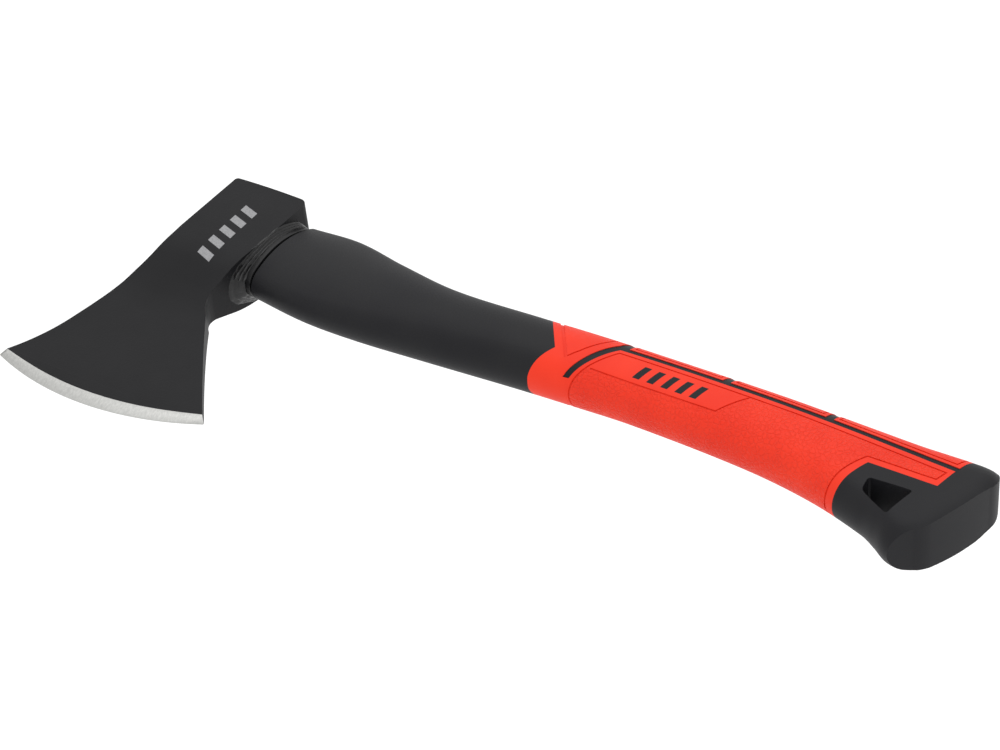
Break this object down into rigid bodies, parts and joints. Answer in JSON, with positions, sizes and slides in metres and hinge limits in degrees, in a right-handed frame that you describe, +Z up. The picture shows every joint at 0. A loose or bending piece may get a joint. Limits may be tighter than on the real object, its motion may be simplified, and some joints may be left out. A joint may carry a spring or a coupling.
{
  "type": "hatchet",
  "caption": "One-hand hatchet with a forged flaring blade and flat poll on an oval core-and-jacket handle with a two-colour moulded grip, a flared butt and a lanyard hole.",
  "frame": {"origin": "middle of the whole tool's box, on the plane that the flat cheek and the butt lie on", "axes": "+X along the handle from head to butt, +Y from the cutting edge to the poll, +Z up through the flat of the blade"},
  "size_m": [0.3892, 0.1356, 0.0257],
  "materials": {
    "head_steel": "forged carbon steel under a matte black coating, with the bevel ground bright",
    "core_fibreglass": "pultruded glass fibre rod, cut end",
    "cast_epoxy": "glossy cast epoxy with a wrinkled skin",
    "collar_rubber": "satin black rubber",
    "jacket_polypropylene": "fine-textured matte black polypropylene",
    "grip_tpr": "matte red thermoplastic rubber, pebbled over the palm area"
  },
  "bodies": {
    "root": {"axe_head": "head_steel", "core_rod": "core_fibreglass", "eye_resin": "cast_epoxy", "resin_bead": "cast_epoxy", "sealing_collar": "collar_rubber", "handle_jacket": "jacket_polypropylene", "grip_sleeve": "grip_tpr", "spine_pad_front": "grip_tpr", "spine_pad_middle": "grip_tpr", "spine_pad_rear": "grip_tpr"}
  },
  "joints": []
}
